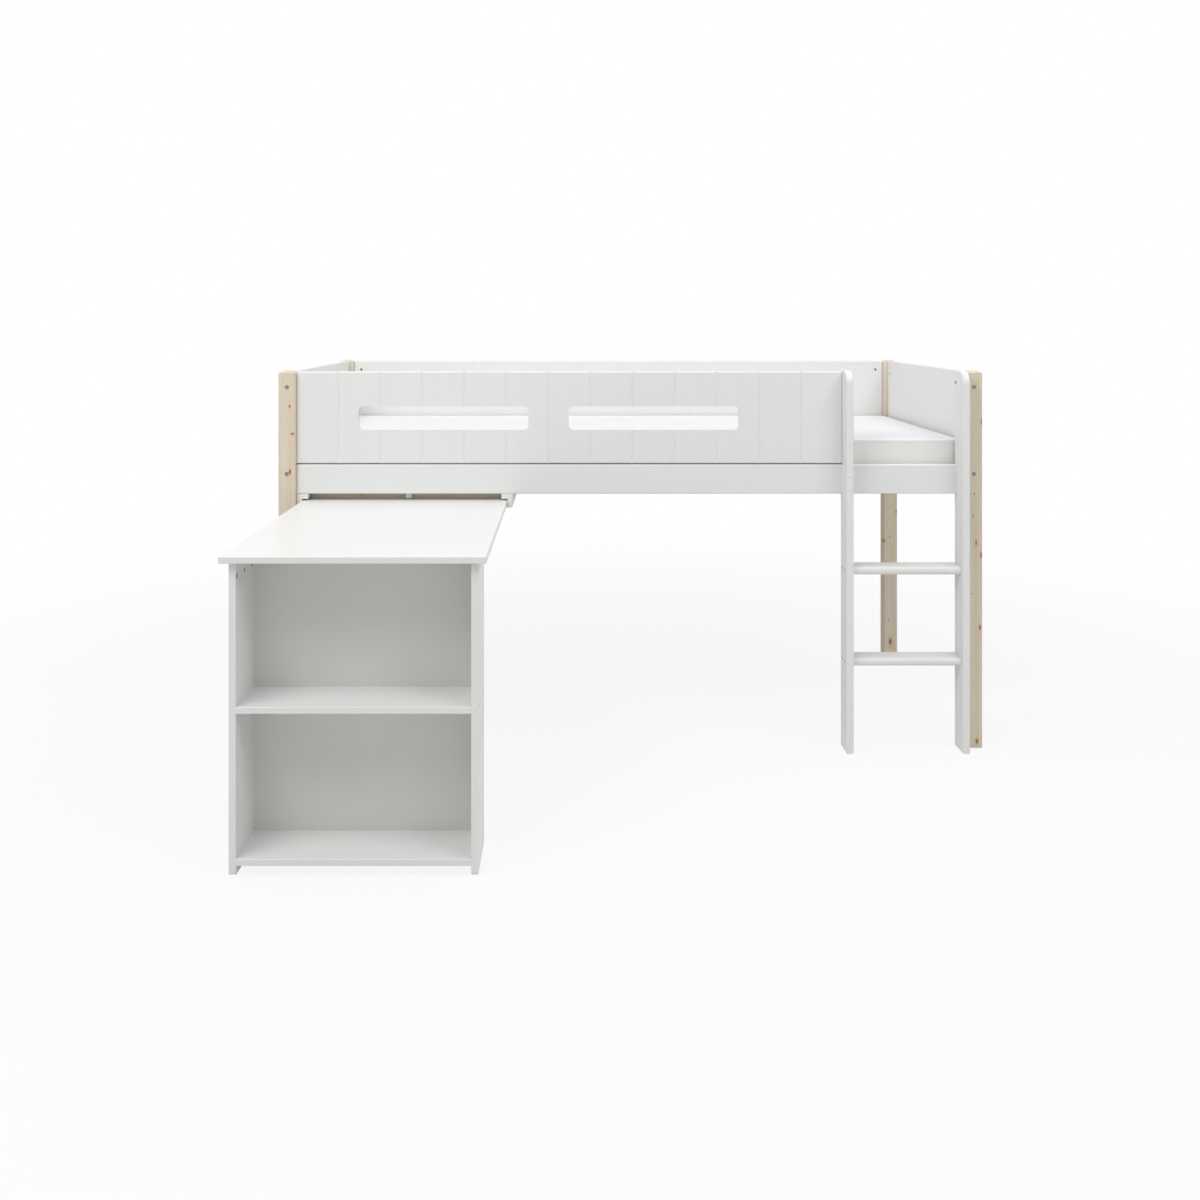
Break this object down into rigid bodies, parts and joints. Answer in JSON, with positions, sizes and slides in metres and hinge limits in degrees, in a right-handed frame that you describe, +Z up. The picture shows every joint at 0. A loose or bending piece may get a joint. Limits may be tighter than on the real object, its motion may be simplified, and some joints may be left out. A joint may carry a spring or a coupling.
{
  "type": "loft bed",
  "caption": "Half-height loft bed on square pine posts, with a slotted white guard panel, a short ladder and a desk that slides out from under the mattress.",
  "frame": {"origin": "On the floor, at the middle of the whole object's box with the desk pulled out.", "axes": "+X along the mattress towards the ladder end, +Y from the desk side towards the wall side, +Z up."},
  "size_m": [2.1, 1.826, 1.127],
  "materials": {
    "white_lacquer": "satin white lacquer over pine, faint grain",
    "white_board": "smooth satin white board",
    "natural_pine": "pale matt pine with straight grain and knots",
    "mattress_cover": "knitted white cover",
    "webbing": "flat woven strap",
    "zinc_steel": "zinc plated",
    "grey_plastic": "matt"
  },
  "bodies": {
    "bed": {"rail_front": "white_lacquer", "rail_back": "white_lacquer", "guard_panel_front": "white_lacquer", "guard_panel_back": "white_lacquer", "end_panel_left": "white_lacquer", "end_panel_right": "white_lacquer", "ladder_stile_left": "white_lacquer", "ladder_stile_right": "white_lacquer", "ladder_step_lower": "white_lacquer", "ladder_step_upper": "white_lacquer", "runner_left": "white_lacquer", "runner_right": "white_lacquer", "desk_stop_block": "white_lacquer", "post_front_left": "natural_pine", "post_front_right": "natural_pine", "post_back_left": "natural_pine", "post_back_right": "natural_pine", "ledger_front": "natural_pine", "ledger_back": "natural_pine", "bed_slats": "natural_pine", "bed_dowels": "natural_pine", "bed_bolts": "zinc_steel", "barrel_nuts": "zinc_steel", "ledger_screws": "zinc_steel", "ladder_step_screws": "zinc_steel", "ladder_rail_screws": "zinc_steel", "runner_screws": "zinc_steel", "stop_block_screw": "zinc_steel", "post_glides": "grey_plastic", "slat_straps": "webbing"},
    "desk": {"desktop": "white_board", "desk_side_left": "white_board", "desk_side_right": "white_board", "desk_back_board": "white_board", "desk_shelf_bottom": "white_board", "desk_shelf_middle": "white_board", "desk_stop_batten": "natural_pine", "desk_dowels": "natural_pine", "desk_shelf_screws": "zinc_steel", "desk_cams": "zinc_steel", "desk_cam_bolts": "zinc_steel", "batten_screws": "zinc_steel", "desk_glides": "grey_plastic"},
    "mattress": {"mattress": "mattress_cover"}
  },
  "joints": [
    {"name": "desk_slide", "type": "slide", "parent": "bed", "child": "desk", "axis": [0, 1, 0], "range_m": [0, 0.8]},
    {"name": "mattress_lift", "type": "slide", "parent": "bed", "child": "mattress", "axis": [0, 0, 1], "range_m": [0, 0.35]}
  ]
}
